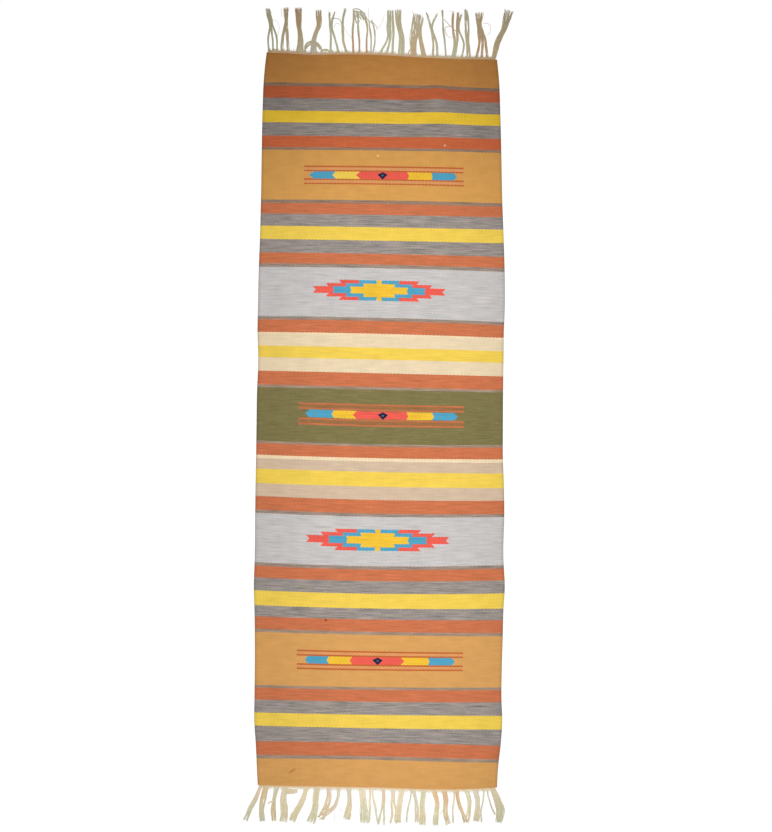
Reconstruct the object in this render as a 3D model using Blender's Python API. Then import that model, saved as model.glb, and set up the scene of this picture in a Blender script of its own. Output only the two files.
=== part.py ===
"""A dhurrie runner: one flat-woven cotton cloth, with a twined heading and a loose fringe at each end.

Metres, +Z up. The origin is the centre of the cloth's underside. X runs across the cloth, Y runs along it
towards the end that is called the top, and everything rests on Z = 0. Widths and places in the tables are
millimetres from that origin, and a fringe's reach is measured outward from the cloth's end.
"""

from collections import namedtuple

import bmesh
import bpy
import numpy as np

MM = 0.001

CLOTH_THICKNESS = 3.0 * MM
RIM_ROUNDING = 0.9 * MM
RIM_ROUND_STEPS = 1
SIDE_STEPS = 60
END_STEPS = 24

HEADING_GAP = 0.3 * MM
HEADING_WIDTH = 6.0 * MM
HEADING_THICKNESS = 2.6 * MM
HEADING_INSET = 1.5 * MM

STRAND_WIDTH = 2.6 * MM
STRAND_HEIGHT = 2.0 * MM
STRAND_CROWN = 0.55
STRAND_CLEARANCE = 0.5 * MM
STRAND_TIP_SHARE = 0.7
STRAND_POINTS = 9
STRAND_SEAT = 3.0 * MM
STRAND_ROOT_LIFT = 0.3 * MM
CRIMP = 0.7 * MM
CRIMPS_PER_STRAND = 2.5
CRIMP_PHASE_STEP = 1.9

MERGE_DISTANCE = 0.01 * MM

COTTON_ROUGHNESS = 0.95
OCHRE = (0.62, 0.36, 0.13, 1.0)
UNDYED_COTTON = (0.66, 0.60, 0.44, 1.0)

# The cloth's two side edges: how far along, then each edge's place across.
SideRow = namedtuple("SideRow", "along left right")
SIDE_EDGES = [
    SideRow(880, -283.5, 285.2),
    SideRow(841, -287, 289),
    SideRow(767, -290, 292),
    SideRow(668, -292, 294.5),
    SideRow(545, -294, 297),
    SideRow(435, -297, 301),
    SideRow(385, -299, 302.5),
    SideRow(275, -301.5, 303),
    SideRow(226, -302.5, 301),
    SideRow(152, -300.5, 300),
    SideRow(78, -303.5, 299),
    SideRow(-20, -305, 298.5),
    SideRow(-89, -306, 298.5),
    SideRow(-143, -307, 300.5),
    SideRow(-217, -308, 302),
    SideRow(-328, -309, 299.5),
    SideRow(-414, -311.5, 303),
    SideRow(-458, -310, 300),
    SideRow(-537, -309, 298),
    SideRow(-599, -309, 296),
    SideRow(-685, -310, 295),
    SideRow(-734, -310.5, 297),
    SideRow(-795, -306.5, 293),
    SideRow(-852, -304, 286.5),
]

# The cloth's two end edges, from the left corner to the right one.
EndRow = namedtuple("EndRow", "across along")
TOP_END = [
    EndRow(-280, 909),
    EndRow(-229, 907),
    EndRow(-162, 903),
    EndRow(-101, 904),
    EndRow(-2, 902.5),
    EndRow(71, 898),
    EndRow(133, 894.5),
    EndRow(194, 892.5),
    EndRow(284, 891),
]
BOTTOM_END = [
    EndRow(-302, -894),
    EndRow(-229, -896),
    EndRow(-162, -897),
    EndRow(-101, -898),
    EndRow(-2, -900),
    EndRow(71, -902.5),
    EndRow(133, -904.5),
    EndRow(194, -904),
    EndRow(284, -900),
]

# Each lock of the fringe: the place across of its middle at its root, a third and two thirds of the way out
# and at its tip, its reach, its number of strands, and how far the strands spread at those four stations.
Lock = namedtuple(
    "Lock", "root low high tip reach strands root_spread low_spread high_spread tip_spread"
)
TOP_LOCKS = [
    Lock(-267, -267, -272, -279, 108, 3, 20, 21, 5, 5),
    Lock(-237, -236, -234, -233, 112, 3, 16, 11, 5, 9),
    Lock(-200, -199, -202, -204, 114, 3, 14, 6, 6, 12),
    Lock(-167, -164, -153, -154, 110, 3, 34, 8, 9, 10),
    Lock(-115, -118, -124, -120, 104, 3, 20, 14, 5, 10),
    Lock(-85, -94, -94, -87, 114, 2, 5, 4, 4, 3),
    Lock(-69, -69, -68, -66, 115, 2, 4, 5, 5, 6),
    Lock(-54, -54, -56, -55, 109, 2, 4, 5, 5, 8),
    Lock(-36, -35, -35, -42, 105, 2, 4, 4, 4, 5),
    Lock(-23, -20, -21, -27, 85, 2, 3, 9, 11, 5),
    Lock(12, 23, 23, 23, 110, 3, 34, 13, 13, 11),
    Lock(49, 51, 43, 42, 115, 3, 11, 9, 8, 12),
    Lock(77, 81, 83, 90, 108, 3, 16, 9, 11, 12),
    Lock(105, 99, 96, 103, 102, 2, 5, 4, 4, 4),
    Lock(132, 133, 124, 125, 111, 3, 12, 9, 6, 22),
    Lock(159, 157, 152, 151, 122, 2, 4, 5, 5, 3),
    Lock(177, 184, 181, 183, 119, 3, 6, 6, 7, 6),
    Lock(197, 197, 195, 196, 112, 2, 5, 4, 4, 4),
    Lock(215, 212, 212, 208, 124, 3, 6, 6, 9, 5),
    Lock(247, 250, 242, 241, 116, 3, 30, 17, 8, 15),
    Lock(277, 287, 305, 316, 122, 3, 6, 7, 8, 17),
]
BOTTOM_LOCKS = [
    Lock(-297, -311, -326, -335, 89, 3, 4, 7, 5, 11),
    Lock(-283, -290, -294, -291, 90, 3, 8, 10, 6, 8),
    Lock(-258, -262, -265, -263, 89, 3, 6, 5, 5, 8),
    Lock(-237, -240, -238, -241, 90, 3, 9, 9, 11, 14),
    Lock(-225, -222, -216, -207, 17, 2, 3, 3, 3, 3),
    Lock(-184, -191, -207, -221, 88, 3, 5, 7, 9, 10),
    Lock(-158, -160, -164, -174, 91, 3, 9, 9, 9, 15),
    Lock(-130, -129, -131, -134, 52, 3, 6, 6, 7, 6),
    Lock(-105, -106, -118, -155, 79, 2, 4, 4, 4, 5),
    Lock(-80, -78, -80, -85, 81, 3, 5, 5, 7, 9),
    Lock(-48, -44, -41, -41, 90, 3, 9, 9, 9, 14),
    Lock(-24, -25, -21, -19, 83, 2, 7, 8, 12, 13),
    Lock(4, 6, 2, 1, 93, 2, 6, 6, 9, 11),
    Lock(29, 30, 30, 26, 89, 2, 6, 6, 6, 9),
    Lock(52, 48, 45, 43, 87, 3, 7, 7, 8, 10),
    Lock(74, 72, 64, 63, 85, 1, 0, 0, 0, 0),
    Lock(82, 86, 88, 88, 84, 3, 6, 6, 6, 6),
    Lock(104, 103, 102, 101, 90, 3, 7, 7, 9, 11),
    Lock(132, 138, 136, 133, 90, 3, 9, 7, 7, 8),
    Lock(155, 160, 159, 166, 88, 3, 7, 7, 5, 7),
    Lock(180, 179, 177, 177, 84, 1, 0, 0, 0, 0),
    Lock(186, 190, 201, 206, 83, 2, 4, 4, 5, 5),
    Lock(209, 218, 218, 218, 78, 2, 6, 6, 6, 6),
    Lock(232, 238, 237, 234, 82, 3, 6, 6, 7, 11),
    Lock(253, 251, 247, 247, 84, 1, 0, 0, 0, 0),
    Lock(260, 263, 269, 276, 57, 1, 0, 0, 0, 0),
    Lock(275, 286, 291, 288, 87, 3, 8, 11, 17, 11),
]
STATIONS = (0.0, 1 / 3, 2 / 3, 1.0)


def smooth(keys, values, at):
    """Reads a cubic through (key, value) pairs, whose slope at each key is that of its neighbours' chord."""
    keys = np.asarray(keys, float)
    values = np.asarray(values, float)
    slopes = np.gradient(values, keys)
    i = np.clip(np.searchsorted(keys, at) - 1, 0, len(keys) - 2)
    width = keys[i + 1] - keys[i]
    t = (at - keys[i]) / width
    start = (1 + 2 * t) * (1 - t) ** 2 * values[i] + t * (1 - t) ** 2 * width * slopes[i]
    end = t**2 * (3 - 2 * t) * values[i + 1] - t**2 * (1 - t) * width * slopes[i + 1]
    return start + end


def end_along(end, across):
    """The place along the cloth of one of its ends, at each place across, in metres."""
    return smooth([row.across * MM for row in end], [row.along * MM for row in end], across)


def side_run(side):
    """One side edge from the bottom corner to the top one, as points in metres."""
    corner = {"left": 0, "right": -1}[side]
    low, high = BOTTOM_END[corner], TOP_END[corner]
    rows = [(low.along, low.across)]
    rows += [(row.along, getattr(row, side)) for row in reversed(SIDE_EDGES)]
    rows += [(high.along, high.across)]
    keys, values = np.array(rows, float).T * MM
    along = np.linspace(keys[0], keys[-1], SIDE_STEPS + 1)
    return np.column_stack([smooth(keys, values, along), along])


def end_run(end):
    """One end edge from the left corner to the right one, as points in metres."""
    across = np.linspace(end[0].across * MM, end[-1].across * MM, END_STEPS + 1)
    return np.column_stack([across, end_along(end, across)])


def cloth_outline():
    """The cloth's outline anticlockwise from its bottom left corner, each corner once."""
    bottom, top = end_run(BOTTOM_END), end_run(TOP_END)
    left, right = side_run("left"), side_run("right")
    return np.vstack([bottom[:-1], right[:-1], top[:0:-1], left[:0:-1]])


def heading_outline(end, outward):
    """The narrow strip beyond one end of the cloth, a gap away from it, anticlockwise."""
    across = np.linspace(
        end[0].across * MM + HEADING_INSET, end[-1].across * MM - HEADING_INSET, END_STEPS + 1
    )
    inner = end_along(end, across) + outward * HEADING_GAP
    outer = inner + outward * HEADING_WIDTH
    low, high = (inner, outer) if outward > 0 else (outer, inner)
    return np.vstack([np.column_stack([across, low]), np.column_stack([across, high])[::-1]])


def strand_routes(lock, index, end, outward):
    """The middle lines of a lock's strands. The lock's own line is a smooth curve through its four stations
    with a slight crimp, and each strand keeps its share of the spread to one side of that line. At the root
    that side is straight across, so that every strand starts inside the heading, a little off the floor."""
    t = np.linspace(0.0, 1.0, STRAND_POINTS)
    reach = STRAND_SEAT + t * (lock.reach * MM - STRAND_SEAT)
    across = smooth(STATIONS, np.array(lock[:4]) * MM, t)
    phase = index * CRIMP_PHASE_STEP
    across += CRIMP * t * np.sin(2 * np.pi * CRIMPS_PER_STRAND * t + phase)
    along = end_along(end, np.full_like(t, lock.root * MM)) + outward * reach
    line = np.column_stack([across, along])
    tangent = np.gradient(line, axis=0)
    tangent /= np.linalg.norm(tangent, axis=1, keepdims=True)
    square = np.column_stack([tangent[:, 1], -tangent[:, 0]]) * outward
    leaving = np.clip(t / STATIONS[1], 0.0, 1.0)[:, None]
    sideways = (1 - leaving) * np.array([1.0, 0.0]) + leaving * square
    closest = (lock.strands - 1) * (STRAND_WIDTH + STRAND_CLEARANCE)
    spread = np.maximum(smooth(STATIONS, np.array(lock[6:]) * MM, t), closest)
    shares = np.linspace(-0.5, 0.5, lock.strands) if lock.strands > 1 else [0.0]
    height = np.zeros_like(t)
    height[0] = STRAND_ROOT_LIFT
    return [
        np.column_stack([line + sideways * (spread * share)[:, None], height])
        for share in shares
    ]


def new_curve(name, dimensions):
    curve = bpy.data.curves.new(name, "CURVE")
    curve.dimensions = dimensions
    return curve


def add_line(curve, points, closed, radii=None):
    """Adds one run of straight steps through the points, which may be flat or in space."""
    points = np.asarray(points, float)
    spline = curve.splines.new("POLY")
    spline.points.add(len(points) - 1)
    spline.use_cyclic_u = closed
    whole = np.zeros((len(points), 4))
    whole[:, : points.shape[1]] = points
    whole[:, 3] = 1.0
    spline.points.foreach_set("co", whole.ravel())
    if radii is not None:
        spline.points.foreach_set("radius", radii)


def place(obj, collection):
    collection.objects.link(obj)
    return obj


def as_mesh(obj, collection):
    """Turns a curve object into a mesh object of the same name whose caps are welded to its sides."""
    bpy.context.view_layer.update()
    evaluated = obj.evaluated_get(bpy.context.evaluated_depsgraph_get())
    mesh = bpy.data.meshes.new_from_object(evaluated)
    matrix = obj.matrix_world.copy()
    name = obj.name
    bpy.data.objects.remove(obj)
    work = bmesh.new()
    work.from_mesh(mesh)
    bmesh.ops.remove_doubles(work, verts=work.verts, dist=MERGE_DISTANCE)
    bmesh.ops.recalc_face_normals(work, faces=work.faces)
    work.to_mesh(mesh)
    work.free()
    made = place(bpy.data.objects.new(name, mesh), collection)
    made.matrix_world = matrix
    return made


def flat_piece(name, outline, thickness, rounding, collection):
    """A flat outline given its thickness, with a rounded rim, resting on Z = 0."""
    curve = new_curve(name, "2D")
    curve.fill_mode = "BOTH"
    curve.extrude = thickness / 2 - rounding
    curve.bevel_depth = rounding
    curve.bevel_resolution = RIM_ROUND_STEPS
    curve.offset = -rounding
    add_line(curve, outline, True)
    obj = place(bpy.data.objects.new(name, curve), collection)
    obj.location.z = thickness / 2
    return as_mesh(obj, collection)


def strand_section(collection):
    """A strand's section: flat where it rests, with sloping sides and a narrower top."""
    half = STRAND_WIDTH / 2
    crown = half * STRAND_CROWN
    curve = new_curve("strand_section", "2D")
    add_line(curve, [(-half, 0), (half, 0), (crown, STRAND_HEIGHT), (-crown, STRAND_HEIGHT)], True)
    return as_guide(place(bpy.data.objects.new("strand_section", curve), collection))


def as_guide(obj):
    obj.hide_render = True
    obj.display_type = "WIRE"
    return obj


def strands(name, locks, end, outward, section, collection):
    """All the strands of one end: the section carried along each route, smaller towards the tip."""
    curve = new_curve(name, "3D")
    curve.twist_mode = "Z_UP"
    curve.bevel_mode = "OBJECT"
    curve.bevel_object = section
    curve.use_fill_caps = True
    taper = np.linspace(1.0, STRAND_TIP_SHARE, STRAND_POINTS)
    for index, lock in enumerate(locks):
        for route in strand_routes(lock, index, end, outward):
            add_line(curve, route, False, taper)
    obj = place(bpy.data.objects.new(name, curve), collection)
    return as_guide(as_mesh(obj, collection))


def cotton(name, colour):
    material = bpy.data.materials.new(name)
    material.use_nodes = True
    shader = material.node_tree.nodes["Principled BSDF"]
    shader.inputs["Base Color"].default_value = colour
    shader.inputs["Roughness"].default_value = COTTON_ROUGHNESS
    shader.inputs["Metallic"].default_value = 0.0
    material.diffuse_color = colour
    return material


def dress(obj, material):
    obj.data.materials.clear()
    obj.data.materials.append(material)


def rug_cloth(collection):
    cloth = flat_piece("rug_cloth", cloth_outline(), CLOTH_THICKNESS, RIM_ROUNDING, collection)
    dress(cloth, cotton("woven_cotton", OCHRE))


def fringe(name, locks, end, outward, section, material, parts, guides):
    """The heading strip of one end with its strands joined on at their roots."""
    outline = heading_outline(end, outward)
    heading = flat_piece(name, outline, HEADING_THICKNESS, RIM_ROUNDING, parts)
    loose = strands(name + "_strands", locks, end, outward, section, guides)
    join = heading.modifiers.new("join_strands", "BOOLEAN")
    join.operation = "UNION"
    join.solver = "EXACT"
    join.object = loose
    dress(heading, material)


def clear_scene():
    for obj in list(bpy.data.objects):
        bpy.data.objects.remove(obj)


def main():
    clear_scene()
    parts = bpy.data.collections.new("dhurrie_runner")
    guides = bpy.data.collections.new("dhurrie_runner_guides")
    for collection in (parts, guides):
        bpy.context.scene.collection.children.link(collection)
    section = strand_section(guides)
    undyed = cotton("undyed_cotton", UNDYED_COTTON)
    rug_cloth(parts)
    fringe("fringe_top", TOP_LOCKS, TOP_END, 1, section, undyed, parts, guides)
    fringe("fringe_bottom", BOTTOM_LOCKS, BOTTOM_END, -1, section, undyed, parts, guides)


main()
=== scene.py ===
"""The looks of a cotton dhurrie runner: a striped weft-faced cloth with woven motifs, a twined heading
and a loose fringe at each end, laid out on a pale floor and seen from straight above.

Metres, +Z up. X runs across the cloth and Y along it, towards the end that is called the top. The tables
are in millimetres. The weave has two measures of its own: u across, spread evenly over the cloth's real
width, and v along, which follows the picks as they dip to the right and bow. A pick is one passing of the
weft.
"""

from collections import namedtuple
from functools import partialmethod

import bpy
import numpy as np
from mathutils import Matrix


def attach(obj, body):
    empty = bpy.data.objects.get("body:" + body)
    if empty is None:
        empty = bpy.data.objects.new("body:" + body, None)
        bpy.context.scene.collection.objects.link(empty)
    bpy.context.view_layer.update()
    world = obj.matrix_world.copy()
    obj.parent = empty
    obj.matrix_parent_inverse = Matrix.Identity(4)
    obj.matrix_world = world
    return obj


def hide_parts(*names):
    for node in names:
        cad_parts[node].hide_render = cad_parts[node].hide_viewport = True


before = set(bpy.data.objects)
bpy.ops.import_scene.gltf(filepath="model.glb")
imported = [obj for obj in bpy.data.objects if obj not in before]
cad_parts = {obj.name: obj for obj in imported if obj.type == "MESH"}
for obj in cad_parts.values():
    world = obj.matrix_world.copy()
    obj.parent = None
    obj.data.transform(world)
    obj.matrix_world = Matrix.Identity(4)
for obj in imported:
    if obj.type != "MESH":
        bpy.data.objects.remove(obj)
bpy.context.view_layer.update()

MM = 0.001


def table(columns, *rows):
    """The rows of a table, in which each value goes by its column's name."""
    row = namedtuple("Row", columns)
    return [row(*values) for values in rows]


# The cloth's outline, as its solid has it: side edges by place along, end edges from left to right.
SIDE_EDGES = table(
    "along left right",
    (880, -283.5, 285.2), (841, -287, 289), (767, -290, 292), (668, -292, 294.5), (545, -294, 297),
    (435, -297, 301), (385, -299, 302.5), (275, -301.5, 303), (226, -302.5, 301), (152, -300.5, 300),
    (78, -303.5, 299), (-20, -305, 298.5), (-89, -306, 298.5), (-143, -307, 300.5), (-217, -308, 302),
    (-328, -309, 299.5), (-414, -311.5, 303), (-458, -310, 300), (-537, -309, 298), (-599, -309, 296),
    (-685, -310, 295), (-734, -310.5, 297), (-795, -306.5, 293), (-852, -304, 286.5),
)
TOP_END = table(
    "across along",
    (-280, 909), (-229, 907), (-162, 903), (-101, 904), (-2, 902.5), (71, 898), (133, 894.5),
    (194, 892.5), (284, 891),
)
BOTTOM_END = table(
    "across along",
    (-302, -894), (-229, -896), (-162, -897), (-101, -898), (-2, -900), (71, -902.5), (133, -904.5),
    (194, -904), (284, -900),
)

# How far each pick lies lower at the right edge than at the left one, by its place along the cloth.
PICK_DROPS = table(
    "along drop",
    (900, 18), (828, 16), (762, 11), (669, 8), (541, 9.5), (444, 11), (379, 12.5), (250, 15),
    (181, 14.5), (118, 14.5), (-51, 11.5), (-158, 13), (-226, 11), (-352, 7.5), (-456, 9), (-519, 11.5),
    (-655, 6.5), (-754, 10), (-827, 11.5), (-897, 6),
)

# How far each pick rises above its slant at the middle of the cloth, by its place along; less is a sag.
PICK_SAGS = table(
    "along rise",
    (900, 0), (826, 2.5), (792, 2), (762, 1), (731, 1), (685, 1.5), (538, 2.5), (494, 1), (429, 1),
    (380, 2.5), (251, 3), (213, 2.5), (166, 1), (120, 0.5), (80, 0), (-53, -4), (-92, -3), (-140, -2.5),
    (-187, -4.5), (-225, -5), (-352, -7), (-402, -5.5), (-456, -4.5), (-500, -3), (-655, -3),
    (-718, -2), (-754, -2), (-790, 1.5), (-827, 2.5), (-897, 0),
)

# Places where the picks ride up or down on the way across, each fading out over its two reaches.
PICK_HUMPS = table(
    "across along rise reach_across reach_along",
    (145, 803, 4.5, 26, 24),
    (150, 750, 2.5, 60, 60),
    (-150, 17, 1.7, 90, 35),
)
END_BOW_REACH = 55 * MM

# The stripes from the top end down, each with its dye and width. The last one runs to the bottom end.
BANDS = table(
    "dye width",
    # The top end's stripes use the copies of ochre, brick and yellow with painted shade for its dim light.
    ("deep_ochre", 73),
    ("smoke", 8), ("deep_brick", 28), ("grey", 30.5), ("deep_yellow", 28.5), ("grey", 32.5),
    ("deep_brick", 27.5), ("smoke", 7),
    ("warm_ochre", 123.5),
    ("smoke", 8), ("brick", 26.5), ("grey", 29.5), ("yellow", 33.5), ("grey", 33), ("brick", 27.5),
    ("slate", 8.5),
    ("silver", 122.5),
    ("slate", 8), ("brick", 31), ("pale_cream", 5), ("cream", 28), ("yellow", 29), ("cream", 33),
    ("brick", 33.5), ("mauve", 7),
    ("olive", 129.5),
    ("mauve", 6), ("brick", 29), ("pale_cream", 8.5), ("tan", 26.5), ("yellow", 35.5), ("tan", 31),
    ("brick", 33.5), ("slate", 7.5),
    ("silver", 120),
    ("slate", 8), ("brick", 29.5), ("grey", 31.5), ("yellow", 37.5), ("grey", 28), ("brick", 31),
    ("mauve", 8),
    ("ochre", 128),
    ("mauve", 6.5), ("brick", 29.5), ("grey", 33), ("yellow", 33), ("grey", 39), ("brick", 34),
    ("mauve", 8),
    ("ochre", 66.5),
)

# Each dye's colour as eight-bit sRGB in full light, and how streaky its yarn is, from 0 to 1; but three of
# them are copies of ochre, brick and yellow with painted shade for the dimly lit top end.
Dye = namedtuple("Dye", "colour streaks")
DYES = {
    # Painted shade: ochre made more saturated, as it looks in the dim light of the top end.
    "deep_ochre": Dye((219, 152, 80), 0.12),
    "warm_ochre": Dye((223, 164, 88), 0.12),
    "ochre": Dye((221, 164, 95), 0.15),
    # Painted shade: brick made more saturated, as it looks in the dim light of the top end.
    "deep_brick": Dye((212, 108, 67), 0.35),
    "brick": Dye((208, 119, 79), 0.42),
    "grey": Dye((156, 147, 141), 1.0),
    # Painted shade: yellow made more saturated, as it looks in the dim light of the top end.
    "deep_yellow": Dye((255, 211, 62), 0.2),
    "yellow": Dye((246, 211, 86), 0.2),
    "silver": Dye((203, 199, 197), 0.4),
    "cream": Dye((238, 217, 181), 0.2),
    "pale_cream": Dye((246, 222, 184), 0.2),
    "tan": Dye((215, 190, 163), 0.25),
    "olive": Dye((129, 120, 76), 0.45),
    "smoke": Dye((158, 130, 110), 0.8),
    "slate": Dye((158, 140, 127), 0.9),
    "mauve": Dye((165, 142, 124), 0.8),
    "coral": Dye((240, 96, 82), 0.3),
    "sky": Dye((82, 165, 198), 0.4),
    "gold": Dye((245, 196, 58), 0.3),
    "navy": Dye((30, 38, 66), 0.3),
    "steel": Dye((92, 112, 140), 0.3),
    "rust": Dye((198, 104, 52), 0.3),
    "copper": Dye((202, 116, 76), 0.3),
    "sienna": Dye((157, 111, 69), 0.4),
    "apricot": Dye((226, 158, 100), 0.2),
}

# The arrow bars. Each starts with its middle in the weave, u and v; then its half height, where its fine
# lines start and end, the offsets of their two pairs, their dye, the dye between them, and its pieces from
# left to right. A piece has its dye, where it starts, and how far its start is pushed out at mid height.
# The cloth shows again from the start of the last one, which has no dye.
ARROW_BARS = table(
    "u v half_height line_from line_to inner_line outer_line line ground pieces",
    (
        2.5, 603, 9.2, -193, 205, 10.6, 21.3, "rust", "apricot",
        (
            ("sky", -169, -12), ("yellow", -114, -9), ("coral", -53, -11),
            ("gold", 64, 5), ("sky", 125, 2), (None, 180, 8),
        ),
    ),
    (
        7.5, 17, 9.2, -198, 205, 12.2, 24.3, "copper", "sienna",
        (
            ("sky", -173, -8), ("gold", -111.5, -6), ("coral", -56, -10),
            ("gold", 65, 4), ("sky", 127, 5), (None, 181, 9),
        ),
    ),
    (
        -2, -586, 9.2, -198, 205, 11.2, 21.6, "rust", "apricot",
        (
            ("sky", -171, -8), ("gold", -120, -6), ("coral", -64, -6),
            ("gold", 54, 9), ("sky", 120, 4), (None, 178, 8),
        ),
    ),
)
LINE_HALF_WIDTH = 1.85
DIAMOND_HALF_WIDTH = 12.8
DIAMOND_SHOULDER = 2.0
DIAMOND_ABOVE = 6.2
DIAMOND_BELOW = 12.2
DIAMOND_HEART = 2.8

# The stepped lozenges: the middle, the height of one row, the half widths of the middle row's colours, and
# how far each row is drawn in from the one before it. Within a row each colour widens by its slant.
LOZENGES = table(
    "u v row gold sky coral step",
    (-6, 319.2, 8.4, 67.5, 110, 154, 31.3),
    (-4, -285.4, 8.6, 73, 116.5, 165, 34),
)
LOZENGE_ROWS = 3
LOZENGE_SLANTS = {"coral": 0.9, "sky": 0.35, "gold": 0.35}

# Flecks of stray fibre and one faint stain: the middle, the two reaches, how far the longer one leans up
# for each step across, the colour, and how strongly it shows.
MARKS = table(
    "u v reach_u reach_v lean colour strength",
    (-9, 652, 4.5, 3.4, 0, (250, 205, 150), 0.5),
    (159, 680, 3.5, 3.0, 0, (240, 205, 175), 0.4),
    (-128, -488, 3.2, 3.6, 0, (150, 62, 44), 0.8),
    (-212, -862, 12, 3.2, 0.5, (184, 124, 64), 0.5),
)

# Each lock of the fringe, close to its solid: the place across of its middle at the four stations from its
# root to its tip, its reach, its number of strands, the most that a strand reaches to either side of its
# own middle, how far the strands spread at those stations, and the yarn's tint near the root and near the
# tip.
STATIONS = (0.0, 1 / 3, 2 / 3, 1.0)
TOP_LOCKS = table(
    "middle reach strands half spread low_tint high_tint",
    ((-267, -267, -272, -279), 110, 3, 1.7, (20, 21, 5, 4), "sage", "sage"),
    ((-237, -236, -234, -233), 114, 2, 3.2, (17, 10, 4, 7), "khaki", "gold"),
    ((-200, -199, -202, -204), 115, 3, 2.6, (13, 7, 7, 12), "khaki", "umber"),
    ((-167, -164, -153, -154), 111, 3, 2.2, (12, 6, 8, 10), "stone", "gold"),
    ((-115, -118, -124, -120), 106, 2, 2.0, (20, 12, 4, 13), "sage", "sage"),
    ((-85, -94, -94, -87), 115, 1, 2.5, (0, 0, 0, 0), "khaki", "sage"),
    ((-69, -69, -68, -67), 115, 1, 1.9, (0, 0, 0, 0), "rust", "sage"),
    ((-54, -54, -56, -57), 106, 1, 1.7, (0, 0, 0, 0), "rust", "sage"),
    ((-36, -35, -35, -42), 105, 1, 1.6, (0, 0, 0, 0), "rust", "khaki"),
    ((-23, -20, -21, -27), 85, 2, 1.3, (3, 9, 12, 5), "stone", "khaki"),
    ((12, 23, 23, 23), 112, 3, 2.2, (34, 13, 13, 11), "sage", "sage"),
    ((49, 51, 43, 42), 116, 3, 2.2, (11, 9, 8, 12), "sage", "khaki"),
    ((80, 80, 84, 90), 108, 3, 3.4, (8, 10, 14, 14), "gold", "khaki"),
    ((105, 99, 94, 100), 102, 2, 2.3, (5, 5, 7, 8), "gold", "khaki"),
    ((132, 133, 124, 125), 113, 2, 2.5, (12, 7, 4, 28), "khaki", "sage"),
    ((159, 157, 152, 151), 123, 1, 1.7, (0, 0, 0, 0), "stone", "khaki"),
    ((178, 184, 182, 184), 118, 2, 2.4, (6, 6, 10, 12), "sage", "umber"),
    ((197, 204, 192, 198), 112, 1, 1.9, (0, 0, 0, 0), "sage", "khaki"),
    ((215, 213, 212, 208), 124, 2, 2.1, (6, 5, 6, 2), "khaki", "sage"),
    ((247, 250, 242, 241), 117, 3, 2.6, (28, 15, 7, 17), "amber", "gold"),
    ((277, 287, 305, 316), 123, 3, 3.0, (6, 8, 9, 17), "gold", "khaki"),
)
BOTTOM_LOCKS = table(
    "middle reach strands half spread low_tint high_tint",
    ((-297, -307, -323, -335), 89, 2, 2.3, (3, 5, 5, 8), "rose", "sage"),
    ((-283, -290, -294, -291), 90, 3, 2.2, (8, 10, 7, 8), "gold", "sage"),
    ((-258, -262, -265, -263), 89, 2, 2.4, (6, 5, 5, 7), "sage", "gold"),
    ((-237, -240, -238, -241), 90, 3, 2.6, (9, 9, 11, 14), "cream", "khaki"),
    ((-184, -191, -207, -221), 88, 3, 2.6, (5, 7, 9, 11), "khaki", "khaki"),
    ((-158, -160, -164, -174), 91, 3, 2.9, (8, 9, 10, 17), "khaki", "sage"),
    ((-130, -128, -136, -150), 80, 2, 2.8, (5, 6, 8, 13), "rose", "gold"),
    ((-105, -106, -118, -155), 79, 2, 1.9, (4, 4, 4, 8), "stone", "rose"),
    ((-80, -77, -80, -85), 81, 3, 2.8, (4, 5, 8, 12), "stone", "khaki"),
    ((-48, -44, -41, -41), 90, 3, 3.2, (9, 11, 13, 16), "cream", "sage"),
    ((-24, -23, -20, -19), 87, 2, 1.9, (5, 8, 16, 21), "cream", "sage"),
    ((5, 7, 3, 0), 93, 2, 1.9, (3, 4, 9, 14), "rose", "sage"),
    ((29, 30, 32, 30), 89, 2, 2.2, (6, 6, 9, 14), "cream", "khaki"),
    ((52, 47, 42, 41), 87, 3, 2.3, (7, 8, 9, 13), "cream", "khaki"),
    ((74, 72, 64, 63), 85, 1, 1.2, (0, 0, 0, 0), "sage", "sage"),
    ((79, 86, 88, 88), 84, 2, 1.8, (4, 4, 5, 6), "stone", "khaki"),
    ((104, 103, 102, 101), 90, 3, 2.4, (7, 7, 9, 11), "sage", "khaki"),
    ((129, 138, 136, 133), 90, 3, 2.2, (6, 7, 7, 8), "amber", "sage"),
    ((155, 160, 159, 166), 88, 2, 2.8, (6, 6, 5, 6), "amber", "gold"),
    ((180, 179, 177, 177), 84, 1, 1.2, (0, 0, 0, 0), "rose", "stone"),
    ((186, 190, 201, 208), 84, 2, 1.7, (4, 4, 5, 6), "amber", "gold"),
    ((209, 218, 216, 210), 82, 2, 2.0, (5, 6, 6, 6), "sage", "khaki"),
    ((231, 238, 237, 234), 82, 3, 2.8, (6, 7, 8, 10), "stone", "khaki"),
    ((253, 251, 247, 247), 84, 1, 1.2, (0, 0, 0, 0), "sage", "stone"),
    ((260, 264, 272, 281), 66, 1, 1.3, (0, 0, 0, 0), "sage", "stone"),
    ((275, 287, 293, 290), 87, 4, 3.4, (9, 12, 14, 11), "khaki", "sage"),
)

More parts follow.
